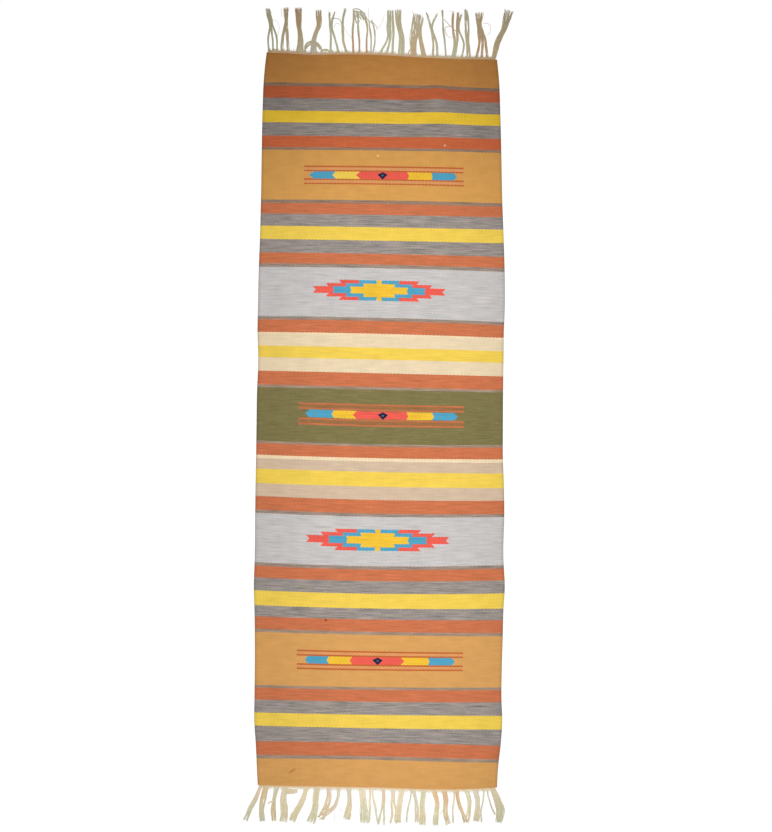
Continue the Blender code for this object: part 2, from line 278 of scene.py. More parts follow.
# Loose threads that have strayed from their locks: the place across and the reach of one end, of the point
# that pulls the bend, and of the other end, and then the thread's radius and tint.
TOP_STRAYS = table(
    "start bend stop radius tint",
    ((-268, 80), (-242, 80), (-254, 40), 0.4, "stone"),
    ((-246, 110), (-246, 100), (-243, 88), 0.5, "stone"),
    ((-118, 88), (-100, 92), (-97, 74), 1.1, "khaki"),
    ((-115, 66), (-112, 84), (-100, 72), 0.6, "stone"),
    ((-92, 70), (-86, 55), (-73, 39), 0.5, "stone"),
    ((-10, 64), (4, 76), (8, 98), 0.5, "stone"),
    ((-30, 114), (-31, 96), (-30, 78), 0.5, "stone"),
    ((-52, 106), (-36, 96), (-31, 82), 0.9, "khaki"),
    ((-30, 78), (-14, 82), (-9, 62), 0.9, "sage"),
    ((67, 3), (68, 25), (84, 15), 1.5, "amber"),
    ((78, 113), (79, 104), (83, 95), 0.5, "rust"),
    ((155, 97), (162, 88), (184, 68), 1.0, "rose"),
    ((172, 79), (148, 80), (163, 57), 0.9, "khaki"),
    ((-186, 5), (-192, 30), (-166, 33), 2.7, "cream"),
    ((-168, 33), (-150, 30), (-144, 6), 2.7, "cream"),
    ((-184, 14), (-181, 25), (-166, 28), 2.7, "cream"),
    ((-168, 28), (-156, 26), (-149, 13), 2.7, "cream"),
    ((-148, 9), (-134, 14), (-122, 5), 1.8, "sage"),
    ((-150, 5), (-138, 20), (-126, 8), 1.3, "khaki"),
    ((-64, 112), (-48, 113), (-37, 92), 1.6, "stone"),
    ((-66, 104), (-52, 110), (-40, 88), 1.9, "sage"),
    ((-62, 96), (-50, 104), (-42, 84), 1.7, "stone"),
    ((-66, 88), (-58, 102), (-48, 86), 1.6, "sage"),
    ((-60, 108), (-60, 92), (-53, 80), 1.7, "sage"),
    ((-66, 110), (-64, 90), (-60, 76), 1.8, "stone"),
    ((163, 57), (168, 50), (177, 52), 0.6, "stone"),
    ((166, 115), (174, 119), (181, 115), 0.4, "stone"),
    ((251, 89), (271, 92), (269, 73), 0.6, "rose"),
    ((269, 73), (270, 65), (260, 60), 0.5, "rose"),
)
BOTTOM_STRAYS = table(
    "start bend stop radius tint",
    ((-234, 8), (-218, 11), (-205, 9), 2.6, "khaki"),
    ((-234, 12), (-218, 15), (-206, 12), 2.4, "rose"),
    ((-235, 17), (-219, 19), (-206, 13), 2.6, "khaki"),
    ((-264, 38), (-272, 40), (-278, 45), 1.8, "khaki"),
    ((-112, 60), (-116, 72), (-115, 89), 0.6, "stone"),
    ((-107, 51), (-100, 56), (-91, 61), 0.7, "stone"),
    ((-78, 58), (-72, 64), (-73, 73), 0.5, "rose"),
    ((-25, 76), (-30, 80), (-32, 85), 0.7, "sage"),
    ((155, 48), (149, 55), (144, 64), 0.9, "stone"),
    ((188, 50), (192, 48), (195, 53), 0.6, "rose"),
)

# The undyed yarn's tints in full light.
TINTS = {
    "cream": (233, 220, 191),
    "dusty": (226, 192, 140),
    "khaki": (220, 208, 173),
    "sage": (212, 209, 177),
    "gold": (219, 197, 155),
    "stone": (216, 208, 187),
    "rose": (222, 203, 178),
    "amber": (221, 185, 140),
    "umber": (221, 188, 148),
    "rust": (206, 158, 116),
}

# The strongest colour that yarn made lighter by painted light may have, the greatest share of cream in a
# yarn, how light the yarns are, and the stretch of the way over which the tint near the root gives way to
# the one near the tip.
PALEST_TINT = 0.92
PALEST_YARN = 0.3
YARN_LIGHTNESS = (0.86, 1.06)
TINT_CHANGE = (0.25, 0.65)

# The fringe's make.
YARNS_PER_STRAND = 8
YARN_POINTS = 30
YARN_SIDES = 5
TUBE_TALLEST = 1.1 * MM
YARN_RADIUS = 0.9 * MM
YARN_UNEVENNESS = (0.85, 1.1)
TAPER_POINTS = 6
TAPER_LAST = 0.45
BUNDLE_THINNEST = 1.2 * MM
BUNDLE_HEIGHT = 0.45 * MM
INNER_YARNS = 0.4
INNER_EVERY = 3
STRAND_OVERLAP = 1.35
BUNDLE_TURN = 150 * MM
TWIST_UNEVENNESS = 0.06
WANDER = 0.8 * MM
WANDER_TURNS = (0.8, 2.2)
SWAY = 0.9 * MM
SWAY_TURNS = (0.8, 1.5)
TIP_UNEVENNESS = 0.05
ROOT_HEIGHT = 1.3 * MM
ROOT_FAN = 4.0 * MM
FRINGE_SEAT = 3.0 * MM
GATHER_REACH = 5.0 * MM
STRAND_CLOSEST = 3.1 * MM
FIBRE_RADIUS = 0.17 * MM
FIBRE_POINTS = 4
FIBRE_SIDES = 3
FIBRE_CURL = 1.3
FIBRE_SHORTEST = 0.35
FIBRE_LIFT = (-0.4 * MM, 0.8 * MM)

# How the yarns fray: fibres on each, the shares of the way between which they leave it, the middle and the
# greatest change of their bearing from the yarn's, in radians, and their greatest length.
Fray = namedtuple("Fray", "per_yarn from_share to_share turn lean longest")
TIP_FRAY = Fray(3, 0.84, 1.0, 0.0, 0.45, 9)
SIDE_FRAY = Fray(2, 0.1, 0.85, 0.0, 0.9, 6)
HEADING_FRAY = Fray(800, 0.0, 1.0, np.pi / 2, 0.9, 7)

# The heading's make.
HEADING_INSET = 1.5 * MM
TWINE_RADIUS = 0.78 * MM
TWINE_SWING = 0.7 * MM
TWINE_SIDES = 6
TWINE_TURN = 9.0 * MM
TWINE_STEP = 0.9 * MM

# The two ends' fringes. The way outward is 1 or -1 along Y. A heading's rows each have their distance
# beyond the cloth's end, hand and tint. The factor after the rows makes all the yarn lighter than its tint:
# painted light that makes up for the shade the lamps leave on the yarn, more at the dimmer top end. The
# seed is where its unevenness starts.
FRINGES = table(
    "name locks strays end outward rows bleach seed",
    (
        "top", TOP_LOCKS, TOP_STRAYS, TOP_END, 1,
        ((1.4, 1, "amber"), (4.0, -1, "gold")), 1.42, 11,
    ),
    (
        "bottom", BOTTOM_LOCKS, BOTTOM_STRAYS, BOTTOM_END, -1,
        ((1.4, 1, "dusty"), (4.2, -1, "cream")), 1.2, 21,
    ),
)

# The cloth's make.
CLOTH_WIDTH = 600 * MM
CLOTH_THICKNESS = 3.0 * MM
WARPS = 132
WARP_PITCH = CLOTH_WIDTH / WARPS
PICK_PITCH = 1.3 * MM
RIB_STEPS = 3
RIB_DEPTH = 0.35 * MM
RIM_ROUNDING = 1.4 * MM
RIM_STEPS = (0.15 * MM, 0.6 * MM)
LONGEST_STEP = 24 * MM
EDGE_LOOPS = 1.5 * MM

# The weave's unevenness: streaks along the picks, broad patches, and pale ticks where a warp shows.
STREAKS_ACROSS = 18.0
STREAK_DETAIL = 3.0
STREAKS_PER_PICK = 0.55
STREAK_DEPTH = 1.8
PATCHES_ACROSS = 30.0
PATCHES_ALONG = 55.0
PATCH_DETAIL = 2.0
PATCH_DEPTH = 0.22
HUE_SHARE = 0.42
HUE_CALM = 0.6
HUE_MIDDLE = 0.5
TICK_RARITY = 0.985
TICK_SHARE = 0.22
TICK_COLOUR = (225, 215, 195)
# Painted shade: how much lighter each float is at its middle and darker towards its edges, in the grooves.
GROOVE_PAINTED_SHADE = 0.14
# Painted shade along both side edges: two bands, each with the share of light it leaves and its reach in.
SELVEDGE_PAINTED_SHADES = table("light reach", (0.9, 6.5), (0.8, 2.2))
FLOAT_RELIEF = 0.4 * MM
RELIEF_STRENGTH = 0.7
COTTON_ROUGHNESS = 0.93
WEAVE_SHEEN = 0.12
YARN_SHEEN = 0.15
COTTON_SPECULAR = 0.15
SHEEN_ROUGHNESS = 0.5

# The yarn's look: painted shade in the groove between its plies, and slubs.
PLY_TURN = 3.2 * MM
PLY_RELIEF = 0.25 * MM
PLY_DARKEST = 0.84
PLY_SHADE = 0.22
SLUBS_ALONG = 140.0
SLUBS_AROUND = 2.0
SLUB_DETAIL = 2.0
SLUB_DARKEST = 0.88
SLUB_SHADE = 0.26

# The places of a colour Mix node's share, two colours and result among its sockets, which share names.
MIX_INPUTS = (0, 6, 7)
MIX_OUTPUT = 2

# The studio.
FLOOR_SIZE = 60.0
FLOOR_GAP = 0.2 * MM
FLOOR_SHADE = 0.1
FLOOR_GLOW = 0.975
FLOOR_ROUGHNESS = 0.9
CAMERA_PLACE = (0.0123, 0.014, 5.688)
CAMERA_LENS = 100.0
SKY_STRENGTH = 0.3

# The two lamps, both pointing straight down: a wide pool that fades out at the top end, and a strip along
# the cloth that fades out at the left edge. The cone is in degrees, and the stretch is along Y.
LAMPS = table(
    "name place power cone blend radius stretch",
    ("wide_pool", (0.0, -0.2, 4.0), 385.0, 34.0, 0.6, 0.25, 1.0),
    ("long_strip", (0.04, 0.0, 4.0), 113.0, 9.7, 0.9, 0.1, 6.0),
)


def column(rows, name):
    """One column of a table, in metres."""
    return np.array([getattr(row, name) for row in rows], float) * MM


def smooth(keys, values, at):
    """A smooth curve through rising keys and their values, read at these places. Each stretch is a cubic.
    The slope at a key is that of the parabola through it and its two neighbours, and at the first and last
    key that of the straight line to the next one."""
    keys = np.asarray(keys, float)
    values = np.asarray(values, float)
    slopes = np.gradient(values, keys)
    i = np.clip(np.searchsorted(keys, at) - 1, 0, len(keys) - 2)
    width = keys[i + 1] - keys[i]
    t = (at - keys[i]) / width
    start = (1 + 2 * t) * (1 - t) ** 2 * values[i] + t * (1 - t) ** 2 * width * slopes[i]
    end = t**2 * (3 - 2 * t) * values[i + 1] - t**2 * (1 - t) * width * slopes[i + 1]
    return start + end


def end_along(end, across):
    """The place along the cloth of one of its ends, at each place across."""
    return smooth(column(end, "across"), column(end, "along"), across)


def side_across(side, along):
    """The place across of one side edge at each place along, corners included."""
    corner = {"left": 0, "right": -1}[side]
    low, high = BOTTOM_END[corner], TOP_END[corner]
    rows = SIDE_EDGES[::-1]
    keys = np.concatenate([[low.along * MM], column(rows, "along"), [high.along * MM]])
    values = np.concatenate([[low.across * MM], column(rows, side), [high.across * MM]])
    return smooth(keys, values, np.clip(along, keys[0], keys[-1]))


def end_level(end):
    """A cloth end's mean place along."""
    return (end[0].along + end[-1].along) / 2 * MM


def at_level(rows, name, v):
    """A column of a table that goes from the top end down, at the level v."""
    return smooth(column(rows[::-1], "along"), column(rows[::-1], name), v)


def end_bow(end, s, v):
    """What is left between a cloth end's true line and its pick's straight slant. It fades out into the
    cloth as a bell curve."""
    level = end_level(end)
    across = (end[0].across + (end[-1].across - end[0].across) * (s + 1) / 2) * MM
    straight = level - at_level(PICK_DROPS, "drop", np.full_like(s, level)) * s / 2
    return (end_along(end, across) - straight) * np.exp(-(((v - level) / END_BOW_REACH) ** 2))


def cloth_place(s, v):
    """Where the weave lies on the floor. s runs from -1 at the left edge to 1 at the right. A pick at level
    v slants by its drop, sags as a parabola, bows with the cloth's ends and rides over the humps; across, s
    is spread evenly between the two side edges at that place, which the picks' loops bulge past a
    little."""
    y = v - at_level(PICK_DROPS, "drop", v) * s / 2 + at_level(PICK_SAGS, "rise", v) * (1 - s**2)
    y = y + end_bow(TOP_END, s, v) + end_bow(BOTTOM_END, s, v)
    for hump in PICK_HUMPS:
        off_across = (s * CLOTH_WIDTH / 2 - hump.across * MM) / (hump.reach_across * MM)
        off_along = (v - hump.along * MM) / (hump.reach_along * MM)
        y = y + hump.rise * MM * np.exp(-(off_across**2) - off_along**2)
    left = side_across("left", y) - EDGE_LOOPS
    right = side_across("right", y) + EDGE_LOOPS
    return left + (right - left) * (s + 1) / 2, y


def band_joins():
    """The level of each join between two stripes, from the top end down."""
    return end_level(TOP_END) - np.cumsum(column(BANDS[:-1], "width"))


def stepped(keys, longest):
    """The keys in rising order with even steps added, so that no step is longer than the longest."""
    runs = [
        np.linspace(a, b, max(int(np.ceil((b - a) / longest)), 1), endpoint=False)
        for a, b in zip(keys[:-1], keys[1:])
    ]
    return np.concatenate(runs + [keys[-1:]])


def cloth_rows():
    """The levels of the cloth's rows: both ends with their rims, and the middle of every stripe, so that
    each row of faces lies nearest to one join."""
    low, high = end_level(BOTTOM_END), end_level(TOP_END)
    joins = band_joins()[::-1]
    middles = (joins[1:] + joins[:-1]) / 2
    inner = np.concatenate([[low + RIM_ROUNDING], middles, [high - RIM_ROUNDING]])
    rim = np.array([0.0, *RIM_STEPS])
    return np.concatenate([low + rim, stepped(inner, LONGEST_STEP), high - rim[::-1]])


def cloth_columns():
    """The places across of the cloth's columns, from -1 to 1: three to each warp, and the two rims."""
    even = np.linspace(-1.0, 1.0, WARPS * RIB_STEPS + 1)
    rim = -1.0 + np.array([0.0, *RIM_STEPS]) * 2 / CLOTH_WIDTH
    return np.concatenate([rim, even[1:-1], -rim[::-1]])


def rim_share(distance):
    """A quarter circle's height, from 0 on the edge to 1 at the rounding's depth and beyond."""
    t = np.clip(1 - distance / RIM_ROUNDING, 0.0, 1.0)
    return np.sqrt(1 - t**2)


def shut_pair(top, bottom):
    """The points and faces of a closed sheet made of two grids of rows and columns that share their rim."""
    rows, columns = top.shape[:2]
    upper = np.arange(rows * columns).reshape(rows, columns)
    lower = upper.copy()
    inner = np.arange((rows - 2) * (columns - 2)).reshape(rows - 2, columns - 2)
    lower[1:-1, 1:-1] = rows * columns + inner
    points = np.concatenate([top.reshape(-1, 3), bottom[1:-1, 1:-1].reshape(-1, 3)])

    def quads(grid):
        """One face for every four neighbouring points of a grid."""
        return np.stack([grid[:-1, :-1], grid[:-1, 1:], grid[1:, 1:], grid[1:, :-1]], -1).reshape(-1, 4)

    return points, np.concatenate([quads(upper), quads(lower)[:, ::-1]])


def new_object(name, data):
    """An object in the scene with this data."""
    made = bpy.data.objects.new(name, data)
    bpy.context.scene.collection.objects.link(made)
    return made


def new_mesh(name, points, *face_sets):
    """A mesh object with these points and faces, shaded smooth. The faces of one set have the same number
    of corners."""
    mesh = bpy.data.meshes.new(name)
    mesh.vertices.add(len(points))
    mesh.vertices.foreach_set("co", np.asarray(points, np.float32).ravel())
    corners = np.concatenate([faces.ravel() for faces in face_sets])
    sizes = np.concatenate([np.full(len(faces), faces.shape[1]) for faces in face_sets])
    mesh.loops.add(len(corners))
    mesh.loops.foreach_set("vertex_index", corners.astype(np.int32))
    mesh.polygons.add(len(sizes))
    mesh.polygons.foreach_set("loop_start", (np.cumsum(sizes) - sizes).astype(np.int32))
    mesh.update(calc_edges=True)
    mesh.validate()
    mesh.shade_smooth()
    return new_object(name, mesh)


def set_corner_map(mesh, name, pairs):
    """A UV map with a pair of numbers for every corner of every face."""
    layer = mesh.uv_layers.new(name=name)
    layer.data.foreach_set("uv", np.asarray(pairs, np.float32).ravel())


def set_attribute(mesh, name, kind, domain, values):
    """Numbers or colours for every point or face of a mesh, for its material to read."""
    attribute = mesh.attributes.new(name, kind, domain)
    field = "color" if kind == "FLOAT_COLOR" else "value"
    attribute.data.foreach_set(field, np.asarray(values, np.float32).ravel())


def linear(colour):
    """Eight-bit sRGB as linear light, by the curve of the sRGB standard."""
    share = np.array(colour, float) / 255
    return np.where(share <= 0.04045, share / 12.92, ((share + 0.055) / 1.055) ** 2.4)


def dye_light(name):
    """A dye's linear red, green and blue."""
    return linear(DYES[name].colour)


def woven_cloth():
    """The cloth as one closed sheet. Both faces carry the warps as ribs, each rib half a sine wave across,
    and the sheet's thickness closes in a quarter circle at its rim. Each face of the mesh holds the dyes of
    the stripes above and below the join that it lies nearest to, their streakiness as alpha, and that
    join's level."""
    v, s = cloth_rows(), cloth_columns()
    s_grid, v_grid = np.meshgrid(s, v)
    x, y = cloth_place(s_grid, v_grid)
    to_side = (1 - np.abs(s_grid)) * CLOTH_WIDTH / 2
    to_end = np.minimum(v_grid - v[0], v[-1] - v_grid)
    rib = np.abs(np.sin(np.pi * WARPS * (s_grid + 1) / 2))
    half = (CLOTH_THICKNESS / 2 - RIB_DEPTH * (1 - rib)) * rim_share(to_side) * rim_share(to_end)
    middle = np.full_like(x, CLOTH_THICKNESS / 2)
    points, quads = shut_pair(
        np.stack([x, y, middle + half], -1), np.stack([x, y, middle - half], -1)
    )
    cloth = new_mesh("woven_cloth", points, quads)
    weave = np.stack([s_grid * CLOTH_WIDTH / 2, v_grid], -1)
    by_point = np.concatenate([weave.reshape(-1, 2), weave[1:-1, 1:-1].reshape(-1, 2)])
    set_corner_map(cloth.data, "weave", by_point[quads.ravel()])
    joins = band_joins()
    face_levels = (v[:-1] + v[1:]) / 2
    nearest = np.abs(face_levels[:, None] - joins[None, :]).argmin(1)
    dyes = np.array([[*dye_light(band.dye), DYES[band.dye].streaks] for band in BANDS])
    to_faces = np.tile(np.repeat(nearest, len(s) - 1), 2)
    set_attribute(cloth.data, "dye_above", "FLOAT_COLOR", "FACE", dyes[to_faces])
    set_attribute(cloth.data, "dye_below", "FLOAT_COLOR", "FACE", dyes[to_faces + 1])
    set_attribute(cloth.data, "join_level", "FLOAT", "FACE", joins[to_faces])
    return cloth


def tubes(paths, radii, sides):
    """Closed round tubes along many paths of the same number of points. A ring of points stands square to
    each path at each of its points, flattened where it would stand too tall, and each end is shut by one
    flat face. Returns the points, the two sets of faces, and for every corner of the side faces its share
    of the way round and its length along."""
    runs, steps = paths.shape[:2]
    tangent = np.gradient(paths, axis=1)
    tangent /= np.linalg.norm(tangent, axis=2, keepdims=True)
    across = np.cross(tangent, np.array([0.0, 0.0, 1.0]))
    across /= np.linalg.norm(across, axis=2, keepdims=True)
    upward = np.cross(across, tangent)
    angle = 2 * np.pi * np.arange(sides) / sides
    aside = across[:, :, None] * (radii[..., None] * np.cos(angle))[..., None]
    rise = upward[:, :, None] * (np.minimum(radii, TUBE_TALLEST)[..., None] * np.sin(angle))[..., None]
    points = paths[:, :, None] + aside + rise
    index = np.arange(runs * steps * sides).reshape(runs, steps, sides)
    after = np.roll(index, -1, axis=2)
    quads = np.stack([index[:, :-1], index[:, 1:], after[:, 1:], after[:, :-1]], -1).reshape(-1, 4)
    caps = np.concatenate([index[:, 0], index[:, -1, ::-1]])
    length = np.cumsum(np.linalg.norm(np.diff(paths, axis=1, prepend=paths[:, :1]), axis=2), axis=1)
    share = np.broadcast_to(np.arange(sides) / sides, (runs, steps - 1, sides))
    near = np.broadcast_to(length[:, :-1, None], share.shape)
    far = np.broadcast_to(length[:, 1:, None], share.shape)
    round_share = np.stack([share, share, share + 1 / sides, share + 1 / sides], -1)
    along = np.stack([near, far, far, near], -1)
    return points.reshape(-1, 3), quads, caps, np.stack([round_share, along], -1).reshape(-1, 2)


def tint_value(name):
    """A yarn tint as linear red, green and blue and full alpha."""
    return np.append(linear(TINTS[name]), 1.0)


def lighter(tints, bleach):
    """These tints made lighter by a factor, which is painted light, or by less where their strongest colour
    would pass the palest."""
    rise = np.minimum(bleach, PALEST_TINT / tints[..., :3].max(-1, keepdims=True))
    return tints * np.concatenate([rise, rise, rise, np.ones_like(rise)], -1)


class Tubes:
    """Gathers sets of tubes, each with its own tints, and makes one mesh object of them all."""

    def __init__(self):
        self.sets = []
        self.count = 0

    def add(self, paths, radii, tints, sides):
        """Adds one set. Its tints have four numbers for every point of every path."""
        points, quads, caps, pairs = tubes(paths, radii, sides)
        tints = np.repeat(tints.reshape(-1, 4), sides, axis=0)
        self.sets.append((points, quads + self.count, caps + self.count, pairs, tints))
        self.count += len(points)

    def make(self, name):
        """All the sets as one object, with the sides' shares of the way round and lengths along as a UV map
        and the tints on the points. The ends' faces come last and have zeros in the map."""
        points, quads, caps, pairs, tints = zip(*self.sets)
        made = new_mesh(name, np.concatenate(points), np.concatenate(quads), *caps)
        corner_map = np.zeros((len(made.data.loops), 2))
        corner_map[: sum(each.size for each in quads)] = np.concatenate(pairs)
        set_corner_map(made.data, "yarn", corner_map)
        set_attribute(made.data, "yarn_tint", "FLOAT_COLOR", "POINT", np.concatenate(tints))
        return made


def yarn_tints(lock, t, bleach, draw):
    """A lock's yarn tints: from the low tint to the high one along the way, each yarn a little its own, and
    all of them made lighter by painted light."""
    low, high = tint_value(lock.low_tint), tint_value(lock.high_tint)
    cream = tint_value("cream")
    way = np.interp(t, TINT_CHANGE, (0.0, 1.0))[..., None]
    paler = draw.uniform(0.0, PALEST_YARN, (len(t), 1, 1))
    tints = low * (1 - way) + high * way
    tints = tints * (1 - paler) + cream * paler
    return lighter(tints * draw.uniform(*YARN_LIGHTNESS, (len(t), 1, 1)), bleach)


def slow_wave(t, turns, start):
    """A sine wave of so many turns over the whole way, begun at a share of a turn."""
    return np.sin(2 * np.pi * (turns * t + start))


def heading_sides(end):
    """The places across of a heading's left and right sides."""
    return end[0].across * MM + HEADING_INSET, end[-1].across * MM - HEADING_INSET


def lock_yarns(lock, end, outward, draw):
    """The paths of a lock's yarns. Their warps leave the heading evenly spaced over a little more than the
    lock's width there, and draw together within a few millimetres. Each strand keeps its share of the
    lock's spread to one side of the lock's smooth middle line, and its yarns wind round the strand, some of
    them nearer to its middle. The strand is a little wider than its share of the spread, within two
    limits."""
    count = lock.strands * YARNS_PER_STRAND
    shorter = 1 - draw.uniform(0.0, TIP_UNEVENNESS, (count, 1))
    t = np.linspace(0.0, 1.0, YARN_POINTS)[None, :] * shorter
    reach = FRINGE_SEAT + t * (lock.reach * MM - FRINGE_SEAT)
    across = smooth(STATIONS, np.array(lock.middle) * MM, t)
    along = end_along(end, np.full_like(t, lock.middle[0] * MM)) + outward * reach
    tangent = np.stack([np.gradient(across, axis=1), np.gradient(along, axis=1)], -1)
    tangent /= np.linalg.norm(tangent, axis=2, keepdims=True)
    leaving = np.clip(t / STATIONS[1], 0.0, 1.0)
    side_x = (1 - leaving) + leaving * tangent[..., 1] * outward
    side_y = -leaving * tangent[..., 0] * outward
    gaps = max(lock.strands - 1, 1)
    closest = (lock.strands - 1) * STRAND_CLOSEST
    spread = np.maximum(smooth(STATIONS, np.array(lock.spread) * MM, t), closest)
    share = np.linspace(-0.5, 0.5, lock.strands) if lock.strands > 1 else np.zeros(1)
    share = np.repeat(share, YARNS_PER_STRAND)[:, None]
    own = np.arange(YARNS_PER_STRAND)
    start = np.tile(own / YARNS_PER_STRAND, lock.strands)[:, None]
    depth = np.tile(np.where(own % INNER_EVERY, 1.0, INNER_YARNS), lock.strands)[:, None]
    start = start + draw.uniform(-TWIST_UNEVENNESS, TWIST_UNEVENNESS, (count, 1))
    turn = 2 * np.pi * (start + reach / BUNDLE_TURN)
    drift = slow_wave(t, draw.uniform(*WANDER_TURNS, (count, 1)), draw.uniform(0, 1, (count, 1)))
    turns, begins = draw.uniform(*SWAY_TURNS, lock.strands), draw.uniform(0, 1, lock.strands)
    turns, begins = (np.repeat(each, YARNS_PER_STRAND)[:, None] for each in (turns, begins))
    sway = slow_wave(t, turns, begins)
    half = np.full_like(t, lock.half * MM)
    if lock.strands > 1:
        half = np.clip(STRAND_OVERLAP * spread / gaps / 2, BUNDLE_THINNEST, half)
    offset = share * spread + half * depth * np.cos(turn)
    offset = offset + WANDER * t * drift + SWAY * np.sin(np.pi * t) * sway
    fan = spread[:, :1].max() / 2 + ROOT_FAN
    left, right = heading_sides(end)
    roots = np.linspace(max(across[0, 0] - fan, left), min(across[0, 0] + fan, right), count)[:, None]
    gather = np.exp(-(reach - FRINGE_SEAT) / GATHER_REACH)
    x = across + side_x * offset
    x = x + (roots - x[:, :1]) * gather
    height = YARN_RADIUS + BUNDLE_HEIGHT * (1 + np.sin(turn))
    z = height + (ROOT_HEIGHT - height) * gather
    return np.stack([x, along + side_y * offset, z], -1), t


def loose_fibres(paths, tints, fray, draw, hand=1):
    """Fine fibres that leave their yarns between two shares of the way, each at a lean to the yarn, and
    curl away at a steady rate as they go."""
    runs, steps = paths.shape[:2]
    yarn = np.repeat(np.arange(runs), fray.per_yarn)
    count = len(yarn)
    step = (draw.uniform(fray.from_share, fray.to_share, count) * (steps - 2)).astype(int)
    start = paths[yarn, step]
    heading = paths[yarn, step + 1] - start
    angle = np.arctan2(heading[:, 1], heading[:, 0])
    angle = angle + hand * fray.turn + draw.uniform(-fray.lean, fray.lean, count)
    curl = draw.uniform(-FIBRE_CURL, FIBRE_CURL, count)
    length = draw.uniform(FIBRE_SHORTEST, 1.0, count) * fray.longest * MM
    way = np.linspace(0.0, 1.0, FIBRE_POINTS)
    bearing = angle[:, None] + curl[:, None] * way
    hop = length[:, None] / (FIBRE_POINTS - 1)
    x = start[:, :1] + np.cumsum(np.cos(bearing) * hop, axis=1)
    y = start[:, 1:2] + np.cumsum(np.sin(bearing) * hop, axis=1)
    lift = draw.uniform(*FIBRE_LIFT, count)[:, None] * way
    z = np.maximum(start[:, 2:3] + lift, FIBRE_RADIUS)
    radii = np.broadcast_to(FIBRE_RADIUS * (1 - way / 2), z.shape)
    return np.stack([x, y, z], -1), radii, np.repeat(tints[yarn, step][:, None], FIBRE_POINTS, axis=1)


def stray_threads(fringe):
    """Each stray thread as a quadratic curve from one end to the other, pulled towards its bend."""
    strays = fringe.strays
    t = np.linspace(0.0, 1.0, YARN_POINTS)[None, :, None]
    points = np.array([(stray.start, stray.bend, stray.stop) for stray in strays]) * MM
    points[..., 1] = end_along(fringe.end, points[..., 0]) + fringe.outward * points[..., 1]
    start, bend, stop = (points[:, None, i] for i in range(3))
    flat = (1 - t) ** 2 * start + 2 * t * (1 - t) * bend + t**2 * stop
    radius = np.array([stray.radius for stray in strays])[:, None] * MM
    height = np.broadcast_to(np.minimum(radius, TUBE_TALLEST) + BUNDLE_HEIGHT * 2, flat.shape[:2])
    tints = lighter(np.array([tint_value(stray.tint) for stray in strays]), fringe.bleach)
    return (
        np.concatenate([flat, height[..., None]], -1),
        np.broadcast_to(radius, flat.shape[:2]),
        np.repeat(tints[:, None], YARN_POINTS, axis=1),
    )


def loose_fringe(fringe):
    """One end's fringe: every lock's yarns, the fibres that fray from them, and the stray threads."""
    draw = np.random.default_rng(fringe.seed)
    made = Tubes()
    taper = np.ones(YARN_POINTS)
    taper[-TAPER_POINTS:] = np.linspace(1.0, TAPER_LAST, TAPER_POINTS)
    for lock in fringe.locks:
        paths, t = lock_yarns(lock, fringe.end, fringe.outward, draw)
        tints = yarn_tints(lock, t, fringe.bleach, draw)
        thickness = draw.uniform(*YARN_UNEVENNESS, (len(paths), 1)) * YARN_RADIUS
        made.add(paths, thickness * taper, tints, YARN_SIDES)
        for fray in (TIP_FRAY, SIDE_FRAY):
            made.add(*loose_fibres(paths, tints, fray, draw), FIBRE_SIDES)
    made.add(*stray_threads(fringe), YARN_SIDES)
    return made.make(f"{fringe.name}_fringe")


def twined_heading(fringe):
    """Rows of weft twining beyond the end: in each row two yarns wind round each other as a pair of
    helices, half a turn apart. Fibres stand out from the last row."""
    draw = np.random.default_rng(fringe.seed)
    x = np.arange(*heading_sides(fringe.end), TWINE_STEP)
    edge = end_along(fringe.end, x)
    made = Tubes()
    for distance, hand, tint in fringe.rows:
        paths = []
        for half in (0.0, 0.5):
            turn = 2 * np.pi * (hand * x / TWINE_TURN + half)
            y = edge + fringe.outward * distance * MM + TWINE_SWING * np.cos(turn)
            paths.append(np.column_stack([x, y, CLOTH_THICKNESS / 2 + TWINE_SWING * np.sin(turn)]))
        paths = np.array(paths)
        tints = np.broadcast_to(lighter(tint_value(tint), fringe.bleach), (*paths.shape[:2], 4))
        made.add(paths, np.full(paths.shape[:2], TWINE_RADIUS), tints, TWINE_SIDES)
    made.add(*loose_fibres(paths, tints, HEADING_FRAY, draw, fringe.outward), FIBRE_SIDES)
    return made.make(f"{fringe.name}_heading")


class Output:
    """What a node gives out, for each point of a surface."""

    def __init__(self, tree, socket):
        self.tree = tree
        self.socket = socket


def fill(tree, given, value):
    """Links an Output to a node's input, or sets the input to a plain value."""
    if isinstance(value, Output):
        tree.links.new(value.socket, given)
    else:
        given.default_value = value


class Level(Output):
    """A number for each point of a surface. Arithmetic on levels adds Math nodes to their material."""

    def math(self, operation, *others):
        """One operation on this level and others, which are Levels or numbers."""
        node = self.tree.nodes.new("ShaderNodeMath")
        node.operation = operation
        for given, value in zip(node.inputs, (self, *others)):
            fill(self.tree, given, value)
        return Level(self.tree, node.outputs[0])

    __add__ = partialmethod(math, "ADD")
    __sub__ = partialmethod(math, "SUBTRACT")
    __mul__ = partialmethod(math, "MULTIPLY")
    __truediv__ = partialmethod(math, "DIVIDE")
    __gt__ = partialmethod(math, "GREATER_THAN")
    __lt__ = partialmethod(math, "LESS_THAN")
    __abs__ = partialmethod(math, "ABSOLUTE")
    floor = partialmethod(math, "FLOOR")
    fraction = partialmethod(math, "FRACT")

    def wave(self):
        """The sine of this level in turns."""
        return (self * (2 * np.pi)).math("SINE")


